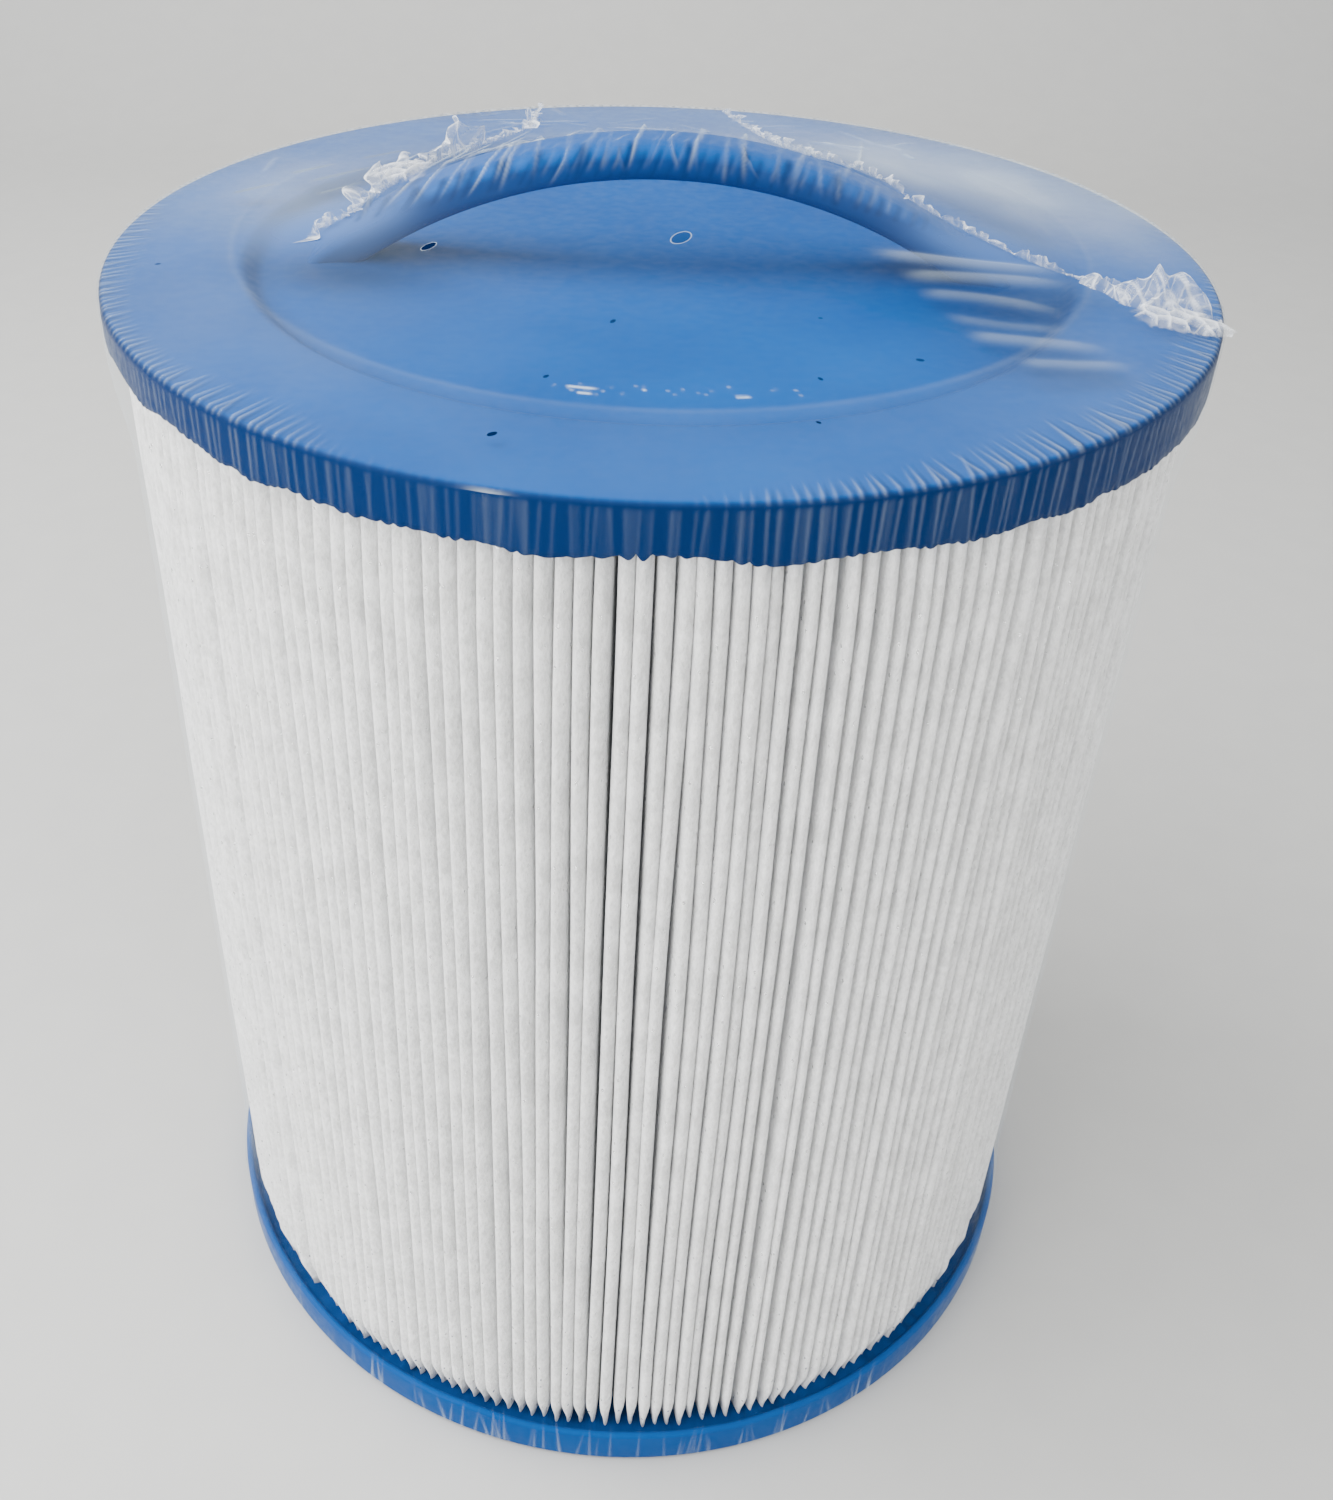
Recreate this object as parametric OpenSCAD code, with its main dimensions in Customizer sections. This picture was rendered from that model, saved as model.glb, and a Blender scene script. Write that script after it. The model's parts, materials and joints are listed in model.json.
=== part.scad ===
// Pleated pool and spa filter cartridge, still in its clear shrink wrap.
// Millimetres. The origin is the centre of the bottom face and +Z runs up the axis.

/* [End caps] */
// Outside diameter of both end caps
cap_d = 216; // [200:1:240]
// Height from the bottom face to the flat rim of the top cap
body_h = 258; // [160:1:500]
// Thickness of the resin plate across each end
plate_t = 6; // [5:0.5:10]
// Height of the top cap's skirt below its plate
skirt_h = 4; // [3:0.5:12]
// Height of the bottom cap's lip above its plate
lip_h = 4; // [2:0.5:10]
// Thickness of the skirt and of the lip
skirt_t = 1.6; // [1:0.1:2]
// Rounding of the outer corners, cut as a chamfer
edge_c = 1.5; // [0.5:0.1:2.5]
// Diameter of the outlet bore through the bottom cap
outlet_d = 53; // [30:1:80]

/* [Dished top] */
// Radius of the dished floor in the top cap
dish_r = 78; // [70:1:84]
// Width of the slope between the floor and the rim
dish_slope = 4; // [1:0.5:8]
// Depth of the dished floor below the rim
dish_depth = 2.4; // [0.5:0.1:3]

/* [Lifting strap] */
// Height of the strap's crest above the cap's rim
crest_h = 21.5; // [12:0.5:40]
// Half the distance between the outer ends of the arch, at rim level
arch_half = 66; // [40:1:70]
// Height of the underside's crest above the cap's rim
gap_h = 15; // [8:0.2:32]
// Half the span of the gap under the arch, at rim level
gap_half = 54; // [30:1:58]
// Width of the strap from its front edge to its back edge
strap_w = 14; // [8:0.5:24]
// Depth to which the feet are set in the resin
foot_set = 2; // [1:0.5:3]

/* [Pleats] */
// Number of pleats round the ring
pleats = 216; // [120:2:240]
// Radius of the outer folds
fold_or = 105.6; // [95:0.1:106]
// Radius of the inner folds
fold_ir = 49.5; // [49:0.5:60]
// Thickness of the nonwoven sheet
sheet_t = 0.6; // [0.3:0.05:0.6]
// Width of the open groove between two outer folds
groove_out = 0.8; // [0.3:0.1:1]
// Width of the groove and of the hollow pleat at the inner folds
groove_in = 0.12; // [0.06:0.02:0.2]

/* [Core] */
// Outside diameter of the perforated core
core_d = 96; // [90:1:97]
// Wall thickness of the core
hoop_t = 2.5; // [2:0.1:4]
// Number of upright ribs
ribs = 16; // [12:2:30]
// Width of a rib along the circumference
rib_w = 4; // [2:0.5:6]
// Number of hoops up the core
hoops = 15; // [6:1:20]
// Height of one hoop
hoop_h = 4; // [2:0.5:8]

/* [Shrink wrap] */
// Thickness the film is drawn at
film_t = 0.3; // [0.2:0.05:0.5]
// Height of the film's lower hem above the bottom face
hem_z = 2; // [1.6:0.1:4]
// Clearance between the film and what it lies on
film_gap = 0.1; // [0.05:0.05:0.3]
// Width of the fused seam bead
seam_w = 2.2; // [1:0.1:4]
// Height of the fused seam bead above the film
seam_h = 1.2; // [0.6:0.1:3]

/* [Hidden] */
$fn = 96;

cap_r = cap_d / 2;
top_plate_z = body_h - plate_t;
floor_z = body_h - dish_depth;
boss_r = core_d / 2 - hoop_t - 0.8;
skirt_r = cap_r - skirt_t;
film_r = cap_r + film_gap;
waist_r = fold_or + 0.5;
core_len = top_plate_z - plate_t;

// Circle through the crest and both ends of an arch of half-span h and rise c
function arch_r(h, c) = (h * h + c * c) / (2 * c);
function polar(r, a) = [r * cos(a), r * sin(a)];
// Angle that a length w subtends at radius r
function arc_deg(w, r) = w / r * 180 / PI;

step = 360 / pleats;
root_r = fold_ir + sheet_t;
crown_r = fold_or - sheet_t;
hollow_out = 2 * PI * fold_or / pleats - groove_out - 2 * sheet_t;

// Half angles at the four corners of a pleat: outer wall, then hollow
wall_root = step / 2 - arc_deg(groove_in / 2, root_r);
wall_crown = step / 2 - arc_deg(groove_out / 2, fold_or);
hollow_root = arc_deg(groove_in / 2, fold_ir);
hollow_crown = arc_deg(hollow_out / 2, crown_r);

outer_fold = [
    for (i = [0 : pleats - 1], p = [
        [root_r, -wall_root], [fold_or, -wall_crown], [fold_or, wall_crown], [root_r, wall_root]
    ]) polar(p[0], i * step + p[1])
];
inner_fold = [
    for (i = [0 : pleats - 1], p = [
        [fold_ir, -hollow_root], [crown_r, -hollow_crown],
        [crown_r, hollow_crown], [fold_ir, hollow_root]
    ]) polar(p[0], i * step + p[1])
];
fold_n = len(outer_fold);

// Plan of the fused seam: from the right-hand ear over the strap to the back rim,
// and from the back rim over the strap's left shoulder
seam_right = [
    [99, -24], [88, -23], [79, -21], [70, -17], [60, -10], [50, -3], [42, 7], [34, 18],
    [27, 38], [21, 66], [15, 98]
];
seam_left = [[-31, 98], [-31, 66], [-37, 42], [-45, 22], [-52, 6], [-58, -8], [-66, -20]];
// Ball centres of the two clumps of spare film, above the rim's level
ear_right = [[86, -30, 6], [98, -30, 5], [97, -35, 4], [92, -31, 9]];
ear_left = [[-41, 28, 15], [-46, 18, 16], [-52, 6, 15], [-57, -6, 13]];

// Arched strap, with grow added all round and its ends at height z0
module strap_shape(z0, grow = 0, hollow = true) {
    ro = arch_r(arch_half, crest_h);
    ri = arch_r(gap_half, gap_h);
    rotate([90, 0, 0])
        linear_extrude(strap_w + 2 * grow, center = true)
            difference() {
                translate([0, body_h + crest_h - ro])
                    circle(ro + grow, $fn = 180);
                if (hollow)
                    translate([0, body_h + gap_h - ri])
                        circle(ri, $fn = 180);
                translate([-2 * ro, z0 - 4 * ro])
                    square([4 * ro, 4 * ro]);
            }
}

// Space under the film tent, with grow added all round
module tent(grow) {
    hull() {
        translate([0, 0, body_h])
            cylinder(h = grow, r = cap_r + grow, $fn = 120);
        strap_shape(body_h, grow, false);
    }
}

// Upright band of width w that follows a line of plan points
module band(points, w) {
    for (i = [0 : len(points) - 2]) {
        a = points[i];
        d = points[i + 1] - a;
        translate(a)
            rotate(atan2(d[1], d[0]))
                translate([0, -w / 2])
                    square([norm(d), w]);
        translate(a)
            circle(w / 2, $fn = 16);
    }
}

// Crumpled clump of spare film lying on the seam, as the rounded bag that holds it
module clump(points, r) {
    difference() {
        hull()
            for (p = points)
                translate(p + [0, 0, body_h])
                    sphere(r, $fn = 24);
        tent(film_gap + film_t + seam_h);
    }
}

module top_end_cap() {
    color([0.16, 0.36, 0.62])
        difference() {
            rotate_extrude()
                polygon([
                    [0, top_plate_z - plate_t], [boss_r, top_plate_z - plate_t],
                    [boss_r, top_plate_z], [skirt_r, top_plate_z],
                    [skirt_r, top_plate_z - skirt_h], [cap_r, top_plate_z - skirt_h],
                    [cap_r, body_h - edge_c], [cap_r - edge_c, body_h],
                    [dish_r + dish_slope, body_h], [dish_r, floor_z], [0, floor_z]
                ]);
            strap_shape(floor_z - foot_set);
        }
}

module lifting_strap() {
    color([0.16, 0.36, 0.62])
        strap_shape(floor_z - foot_set);
}

module bottom_end_cap() {
    color([0.16, 0.36, 0.62])
        rotate_extrude()
            polygon([
                [outlet_d / 2, 0], [cap_r - edge_c, 0], [cap_r, edge_c],
                [cap_r, plate_t + lip_h], [skirt_r, plate_t + lip_h], [skirt_r, plate_t],
                [boss_r, plate_t], [boss_r, 2 * plate_t], [outlet_d / 2, 2 * plate_t]
            ]);
}

module pleated_media() {
    color([0.93, 0.93, 0.92])
        translate([0, 0, plate_t])
            linear_extrude(core_len)
                polygon(
                    concat(outer_fold, inner_fold),
                    [[for (i = [0 : fold_n - 1]) i], [for (i = [0 : fold_n - 1]) fold_n + i]]
                );
}

module centre_core() {
    core_r = core_d / 2;
    pitch = (core_len - hoop_h) / (hoops - 1);
    window_w = 2 * PI * core_r / ribs - rib_w;
    color([0.88, 0.88, 0.86])
        difference() {
            translate([0, 0, plate_t])
                rotate_extrude()
                    translate([core_r - hoop_t, 0])
                        square([hoop_t, core_len]);
            for (i = [0 : hoops - 2])
                translate([0, 0, plate_t + hoop_h + i * pitch])
                    linear_extrude(pitch - hoop_h)
                        for (k = [0 : ribs / 2 - 1])
                            rotate(k * 360 / ribs)
                                square([core_d + 2, window_w], center = true);
        }
}

module film_sleeve() {
    lip_z = plate_t + lip_h;
    skirt_z = top_plate_z - skirt_h;
    color([0.9, 0.94, 0.97, 0.35])
        rotate_extrude()
            polygon([
                [film_r, hem_z], [film_r, lip_z], [waist_r, lip_z + 24],
                [waist_r, skirt_z - 24], [film_r, skirt_z], [film_r, body_h],
                [film_r + film_t, body_h], [film_r + film_t, skirt_z],
                [waist_r + film_t, skirt_z - 24], [waist_r + film_t, lip_z + 24],
                [film_r + film_t, lip_z], [film_r + film_t, hem_z]
            ]);
}

module film_top() {
    color([0.9, 0.94, 0.97, 0.35])
        difference() {
            tent(film_gap + film_t);
            tent(film_gap);
        }
}

module film_seam() {
    color([0.95, 0.97, 0.98, 0.6])
        intersection() {
            difference() {
                tent(film_gap + film_t + seam_h);
                tent(film_gap + film_t);
            }
            intersection() {
                translate([0, 0, body_h])
                    linear_extrude(crest_h * 2) {
                        band(seam_right, seam_w);
                        band(seam_left, seam_w);
                    }
                cylinder(h = body_h + 2 * crest_h, r = film_r);
            }
        }
}

module film_ear_right() {
    color([0.95, 0.97, 0.98, 0.6])
        clump(ear_right, 3.4);
}

module film_ear_left() {
    color([0.95, 0.97, 0.98, 0.6])
        clump(ear_left, 2.6);
}

top_end_cap();
lifting_strap();
bottom_end_cap();
pleated_media();
centre_core();
film_sleeve();
film_top();
film_seam();
film_ear_right();
film_ear_left();
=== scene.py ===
"""A pleated filter cartridge in its clear shrink wrap, on a pale studio floor.

Every length is in metres in the CAD frame: +Z up the cartridge, +X along the lifting
strap, origin at the centre of the bottom face.
"""

import json
import math

import bpy
import numpy as np
from mathutils import Matrix, Vector


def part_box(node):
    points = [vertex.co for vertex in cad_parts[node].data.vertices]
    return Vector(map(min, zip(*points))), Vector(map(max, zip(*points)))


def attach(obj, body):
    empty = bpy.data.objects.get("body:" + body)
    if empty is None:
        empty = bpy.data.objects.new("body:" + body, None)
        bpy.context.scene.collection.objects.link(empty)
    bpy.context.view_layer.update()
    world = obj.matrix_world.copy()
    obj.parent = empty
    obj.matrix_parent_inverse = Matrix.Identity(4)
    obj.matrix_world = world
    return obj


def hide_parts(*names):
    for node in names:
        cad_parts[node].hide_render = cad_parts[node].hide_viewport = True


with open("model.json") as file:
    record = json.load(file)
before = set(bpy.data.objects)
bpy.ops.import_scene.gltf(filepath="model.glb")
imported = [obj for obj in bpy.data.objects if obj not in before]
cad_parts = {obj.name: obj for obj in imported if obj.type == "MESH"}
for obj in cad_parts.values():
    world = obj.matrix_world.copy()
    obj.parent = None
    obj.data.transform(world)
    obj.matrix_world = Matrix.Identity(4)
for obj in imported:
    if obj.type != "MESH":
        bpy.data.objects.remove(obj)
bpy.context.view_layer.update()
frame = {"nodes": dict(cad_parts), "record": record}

MM = 0.001
TAU = 2 * math.pi

# ---- sizes read from the frame -------------------------------------------------------
top_low, top_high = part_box("top_end_cap")
strap_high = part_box("lifting_strap")[1]
media_low, media_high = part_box("pleated_media")

CAP_R = top_high.x
FACE_Z = top_high.z
BOSS_Z = top_low.z
LOW_BOSS_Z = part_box("bottom_end_cap")[1].z
CREST = strap_high.z - FACE_Z
STRAP_HALF = strap_high.y
MEDIA_R = media_high.x
MEDIA_Z0, MEDIA_Z1 = media_low.z, media_high.z
CORE_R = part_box("centre_core")[1].x
HEM_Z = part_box("film_sleeve")[0].z
BORE_R = frame["record"]["mounts"][0]["dims"]["r_mm"] * MM

# ---- sizes that a node's box doesn't show, as in the part's source -------------------
LIP_Z = 10 * MM
SKIRT_Z = 248 * MM
DISH_R = 78 * MM
DISH_SLOPE = 4 * MM
DISH_DEPTH = 2.4 * MM
GAP_RISE = 15 * MM
GAP_HALF = 54 * MM
ARCH_HALF = 66 * MM
PLEATS = 216

# ---- sizes of the look only ----------------------------------------------------------
# The caps are drawn this much inside the CAD's skin, and the film outside it
SIDE_R = CAP_R - 0.1 * MM
BOSS_R = CORE_R - 3.4 * MM
FILM_GAP = 0.25 * MM
RIM_R = CAP_R + FILM_GAP
FILM_Z = FACE_Z + FILM_GAP
# Points round the rim of the film, and tucks in it where it turns over the rim
FILM_STEPS = 2592
CRIMPS = 330


# ---- mesh helpers --------------------------------------------------------------------
def smoothstep(x):
    """0 up to 0, 1 from 1 on, and a smooth S between them."""
    x = np.clip(x, 0, 1)
    return x * x * (3 - 2 * x)


def ring_noise(theta, low, high, seed, power=1.0):
    """Noise that repeats once round the ring, with low to high waves in a turn."""
    r = np.random.default_rng(seed)
    out = np.zeros_like(theta)
    total = 0.0
    for k in np.unique(np.geomspace(low, high, 24).astype(int)):
        amp = (low / k) ** power
        out += amp * np.sin(k * theta + r.uniform(0, TAU))
        total += amp * amp / 2
    return out / math.sqrt(total)


def line_noise(t, low, high, seed, power=1.0):
    """The same along a line, with low to high waves in a metre."""
    r = np.random.default_rng(seed)
    out = np.zeros_like(t)
    total = 0.0
    for k in np.geomspace(low, high, 14):
        amp = (low / k) ** power
        out += amp * np.sin(TAU * k * t + r.uniform(0, TAU))
        total += amp * amp / 2
    return out / math.sqrt(total)


def plane_noise(x, y, wave, seed, count=18):
    """Noise over a plane whose waves are about wave long."""
    r = np.random.default_rng(seed)
    out = np.zeros_like(x)
    for _ in range(count):
        a = r.uniform(0, TAU)
        k = TAU / (wave * r.uniform(0.6, 1.8))
        out += np.sin(k * (x * math.cos(a) + y * math.sin(a)) + r.uniform(0, TAU))
    return out / math.sqrt(count / 2)


def grid_mesh(name, points, wrap_u=False, wrap_v=False, flip=False):
    """A mesh object from an n by m array of points; wrap joins the last row to the first."""
    n, m = points.shape[:2]
    i = np.arange(n if wrap_u else n - 1)
    j = np.arange(m if wrap_v else m - 1)
    a, b = np.meshgrid(i, j, indexing="ij")
    a1, b1 = (a + 1) % n, (b + 1) % m
    quads = np.stack([a * m + b, a1 * m + b, a1 * m + b1, a * m + b1], -1).reshape(-1, 4)
    if flip:
        quads = quads[:, ::-1]
    return poly_mesh(name, points.reshape(-1, 3), quads)


def poly_mesh(name, verts, quads):
    """A smooth mesh object from vertices and four-sided faces."""
    mesh = bpy.data.meshes.new(name)
    mesh.vertices.add(len(verts))
    mesh.vertices.foreach_set("co", np.asarray(verts, np.float32).ravel())
    mesh.loops.add(len(quads) * 4)
    mesh.loops.foreach_set("vertex_index", np.asarray(quads, np.int32).ravel())
    mesh.polygons.add(len(quads))
    mesh.polygons.foreach_set("loop_start", np.arange(len(quads), dtype=np.int32) * 4)
    mesh.polygons.foreach_set("use_smooth", np.ones(len(quads), bool))
    mesh.update(calc_edges=True)
    mesh.validate()
    obj = bpy.data.objects.new(name, mesh)
    bpy.context.scene.collection.objects.link(obj)
    return obj


def add_value(obj, name, values):
    """A number on every vertex, for the piece's material to read."""
    layer = obj.data.attributes.new(name, "FLOAT", "POINT")
    layer.data.foreach_set("value", np.asarray(values, np.float32).ravel())


def place(obj, material, node):
    """Puts a piece on the part's one body, in place of a CAD node."""
    obj.data.materials.append(material)
    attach(obj, "root")
    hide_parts(node)


# ---- materials -----------------------------------------------------------------------
class Shade:
    """A material with one Principled node, and short ways to wire nodes into it."""

    def __init__(self, name, colour, roughness, **sockets):
        self.material = bpy.data.materials.new(name)
        self.material.use_nodes = True
        self.tree = self.material.node_tree
        self.bsdf = self.tree.nodes["Principled BSDF"]
        self.bsdf.inputs["Base Color"].default_value = (*colour, 1)
        self.bsdf.inputs["Roughness"].default_value = roughness
        for key, value in sockets.items():
            self.bsdf.inputs[key.replace("_", " ")].default_value = value
        self.coords = self.tree.nodes.new("ShaderNodeTexCoord").outputs["Object"]

    def node(self, kind, **props):
        n = self.tree.nodes.new("ShaderNode" + kind)
        for key, value in props.items():
            setattr(n, key, value)
        return n

    def wire(self, source, target):
        """Links a node's output to a socket, or writes a constant in it."""
        if isinstance(source, (int, float, tuple)):
            target.default_value = source
        else:
            self.tree.links.new(source, target)

    def math(self, op, a, b=0.0):
        n = self.node("Math", operation=op)
        for value, socket in zip((a, b), n.inputs):
            self.wire(value, socket)
        return n.outputs[0]

    def scaled(self, x, y, z):
        """The object's own coordinates, stretched."""
        n = self.node("Mapping")
        self.wire(self.coords, n.inputs["Vector"])
        n.inputs["Scale"].default_value = (x, y, z)
        return n.outputs[0]

    def noise(self, scale, detail=3.0, vector=None, rough=0.5):
        n = self.node("TexNoise")
        self.wire(vector or self.coords, n.inputs["Vector"])
        n.inputs["Scale"].default_value = scale
        n.inputs["Detail"].default_value = detail
        n.inputs["Roughness"].default_value = rough
        return n.outputs[0]

    def cells(self, scale, vector):
        n = self.node("TexVoronoi")
        self.wire(vector, n.inputs["Vector"])
        n.inputs["Scale"].default_value = scale
        return n.outputs["Distance"]

    def span(self, value, low, high, to_low=0.0, to_high=1.0):
        """Maps low and high to to_low and to_high, and stops at both."""
        n = self.node("MapRange")
        self.wire(value, n.inputs[0])
        for k, v in enumerate((low, high, to_low, to_high)):
            n.inputs[k + 1].default_value = v
        return n.outputs[0]

    def blend(self, factor, a, b):
        n = self.node("Mix", data_type="RGBA")
        self.wire(factor, n.inputs[0])
        for value, socket in ((a, n.inputs[6]), (b, n.inputs[7])):
            self.wire((*value, 1) if isinstance(value, tuple) else value, socket)
        return n.outputs[2]

    def bump(self, height, distance, strength=1.0, normal=None):
        """Relief of the given depth, on top of another relief where normal is given."""
        n = self.node("Bump")
        self.wire(height, n.inputs["Height"])
        n.inputs["Distance"].default_value = distance
        n.inputs["Strength"].default_value = strength
        if normal is not None:
            self.wire(normal, n.inputs["Normal"])
        return n.outputs[0]

    def value(self, name):
        """What add_value stored under this name, or 0 where a mesh has no such value."""
        return self.node("Attribute", attribute_name=name).outputs["Fac"]

    def set(self, socket, source):
        self.wire(source, self.bsdf.inputs[socket])


def resin_material():
    """Blue moulded polyurethane: rich dark blue, satin skin, faint flow marks and bubbles, darkened
    by painted shade where a piece asks for it.
    """
    s = Shade("blue_resin", (0.002, 0.064, 0.26), 0.36, IOR=1.5, Specular_IOR_Level=0.05)
    s.bsdf.inputs["Specular Tint"].default_value = (0.35, 0.62, 1.0, 1)
    flow = s.noise(28, 4)
    fine = s.noise(420, 2)
    face = s.blend(s.span(flow, 0.3, 0.7), (0.0015, 0.058, 0.24), (0.0025, 0.072, 0.28))
    # Painted shade: each piece stores per vertex how far its resin is darkened towards a near-black
    # blue
    s.set("Base Color", s.blend(s.value("painted_shading"), face, (0.0005, 0.010, 0.054)))
    s.set("Roughness", s.span(fine, 0.3, 0.7, 0.32, 0.48))
    s.set("Normal", s.bump(fine, 0.00005, 0.4, s.bump(flow, 0.0006, 0.2)))
    return s.material


def media_material():
    """White spunbonded polyester: pressed fibres, matt, with small bright filaments."""
    s = Shade("spunbond_media", (0.88, 0.88, 0.87), 0.85, Sheen_Weight=0.2)
    s.bsdf.inputs["Subsurface Weight"].default_value = 0.3
    s.bsdf.inputs["Subsurface Radius"].default_value = (1.0, 1.0, 0.95)
    s.bsdf.inputs["Subsurface Scale"].default_value = 0.002
    fibre = s.noise(1300, 4, s.scaled(1, 1, 0.5), 0.7)
    patch = s.noise(160, 4)
    shade = s.math("ADD", s.math("MULTIPLY", fibre, 0.6), s.math("MULTIPLY", patch, 0.4))
    fleck = s.math("LESS_THAN", s.cells(430, s.scaled(1, 1, 0.6)), 0.12)
    # Painted light: deeper into a groove the media turns a flat, pale blue-grey, lighter than its
    # mean, standing in for light scattered into the folds
    painted_shading = s.value("depth")
    colour = s.blend(s.span(shade, 0.4, 0.6), (0.66, 0.66, 0.65), (0.92, 0.92, 0.91))
    colour = s.blend(fleck, colour, (1.0, 1.0, 1.0))
    s.set("Base Color", s.blend(painted_shading, colour, (0.86, 0.87, 0.89)))
    s.set("Metallic", s.math("MULTIPLY", fleck, 0.95))
    s.set("Roughness", s.span(fleck, 0.0, 1.0, 0.85, 0.22))
    s.set("Normal", s.bump(fibre, 0.0008, 0.8, s.bump(patch, 0.0006, 0.3)))
    return s.material


def core_material():
    """White moulded plastic with a faint grain."""
    s = Shade("white_core", (0.78, 0.78, 0.76), 0.45)
    grain = s.noise(300, 3)
    s.set("Base Color", s.blend(grain, (0.72, 0.72, 0.70), (0.82, 0.82, 0.80)))
    s.set("Normal", s.bump(grain, 0.0001, 0.3))
    return s.material


def pinholes(s):
    """Vent holes melted through the film, filled with dark film as painted shade, with a bright
    rolled rim.
    """
    split = s.node("SeparateXYZ")
    s.wire(s.coords, split.inputs[0])
    x, y = split.outputs[0], split.outputs[1]
    inside, rim = 0.0, 0.0
    for cx, cy, half, turn, dark in HOLES:
        dx, dy = s.math("SUBTRACT", x, cx * MM), s.math("SUBTRACT", y, cy * MM)
        ca, sa = math.cos(turn), math.sin(turn)
        along_x = s.math("ADD", s.math("MULTIPLY", dx, ca), s.math("MULTIPLY", dy, sa))
        along_y = s.math("SUBTRACT", s.math("MULTIPLY", dy, ca), s.math("MULTIPLY", dx, sa))
        u = s.math("MULTIPLY", along_x, 1 / (half * MM))
        v = s.math("MULTIPLY", along_y, 1 / (0.62 * half * MM))
        d = s.math("SQRT", s.math("ADD", s.math("MULTIPLY", u, u), s.math("MULTIPLY", v, v)))
        here = s.math("LESS_THAN", d, 1.0)
        inside = s.math("MAXIMUM", inside, s.math("MULTIPLY", here, dark))
        edge = s.math("SUBTRACT", s.math("LESS_THAN", d, 1.0 + 0.1 * min(half, 1.2)), here)
        rim = s.math("MAXIMUM", rim, s.math("MULTIPLY", edge, 0.08 + 0.17 * (half > 1)))
    return inside, rim


# Vent holes: plan place and half length in millimetres, the long axis's bearing in
# radians, darkness of the painted shade inside
HOLES = (
    (-41.5, -30, 1.5, 0.7, 0.95),
    (4, -31, 2.1, 0.8, 0.3),
    (-7, -57, 0.65, 1.0, 0.8),
    (28, -52, 0.4, 0.0, 0.7),
    (-17, -74, 0.6, 0.8, 0.8),
    (27, -71, 0.55, -0.8, 0.8),
    (44, -62, 0.75, 0.0, 0.7),
    (-24, -91, 0.9, 0.6, 0.9),
    (-94, -23, 0.6, 0.0, 0.7),
    (26, -84, 0.5, -0.6, 0.9),
)


# Colours of the film: haze, folds and painted reflections, the painted shade beside a fold, the
# painted sheen over the strap's feet, and the painted shade inside a vent hole
FILM_WHITE = (0.76, 0.90, 1.0)
FILM_SHADE = (0.0005, 0.012, 0.06)
FOOT_BLUE = (0.022, 0.085, 0.28)
HOLE_DARK = (0.0003, 0.005, 0.03)
TINY = 0.0001


def film_material(name, haze_alpha, holes=False):
    """Clear shrink film: faint haze, white where it is creased and where it takes painted reflections
    and highlights, painted shade beside a crease and inside vent holes, and a painted blue sheen
    where it hides the strap's feet."""
    s = Shade(name, FILM_WHITE, 0.14, IOR=1.5)
    crease_and_sheen, shade, bloom = s.value("crease_and_sheen"), s.value("shade"), s.value("bloom")
    # Painted reflection: the film whitens where it is seen edge-on, as if it reflected the bright
    # room
    glance = s.math("POWER", s.node("LayerWeight").outputs["Facing"], 9.0)
    haze = s.span(s.noise(24, 3), 0.3, 0.7, 0.6, 1.4)
    alpha = s.math("ADD", s.math("MULTIPLY", haze, haze_alpha), s.math("MULTIPLY", glance, 0.25))
    alpha = s.math("ADD", alpha, s.math("MULTIPLY", crease_and_sheen, 0.6))
    if holes:
        inside, rim = pinholes(s)
        shade = s.math("MAXIMUM", shade, s.math("MULTIPLY", inside, 1.7))
        alpha = s.math("MAXIMUM", alpha, rim)
    # Each layer adds to the alpha, and its share of the alpha is its share of the colour
    shade = s.math("MULTIPLY", shade, 0.6)
    alpha = s.math("ADD", alpha, shade)
    dark = s.math("DIVIDE", shade, s.math("ADD", alpha, TINY))
    alpha = s.math("ADD", alpha, bloom)
    blue = s.math("DIVIDE", bloom, s.math("ADD", alpha, TINY))
    colour = s.blend(dark, FILM_WHITE, FILM_SHADE)
    colour = s.blend(blue, colour, FOOT_BLUE)
    if holes:
        # Painted shade: a near-black blue fills each vent hole
        colour = s.blend(s.math("GREATER_THAN", inside, 0.0), colour, HOLE_DARK)
    s.set("Base Color", colour)
    s.set("Specular IOR Level", s.span(s.math("ADD", dark, blue), 0.0, 0.6, 0.5, 0.0))
    s.set("Alpha", s.math("MINIMUM", alpha, 0.95))
    s.set("Normal", s.bump(s.noise(90, 4), 0.0006, 0.12))
    return s.material


def bead_material():
    """Fused and crumpled film: clear facets, white where it is folded (milky film and painted
    highlight), with sharp glints.
    """
    s = Shade("fused_film", (0.88, 0.91, 0.94), 0.10, IOR=1.5)
    folds = s.noise(300, 4)
    milk_and_highlight = s.math("MULTIPLY", s.value("crease_and_sheen"), 0.7)
    alpha = s.math("ADD", s.span(folds, 0.35, 0.68, 0.04, 0.3), milk_and_highlight)
    s.set("Alpha", s.math("MAXIMUM", s.math("MINIMUM", alpha, 0.96), 0.0))
    s.set("Normal", s.bump(folds, 0.0012, 0.6))
    return s.material


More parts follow.
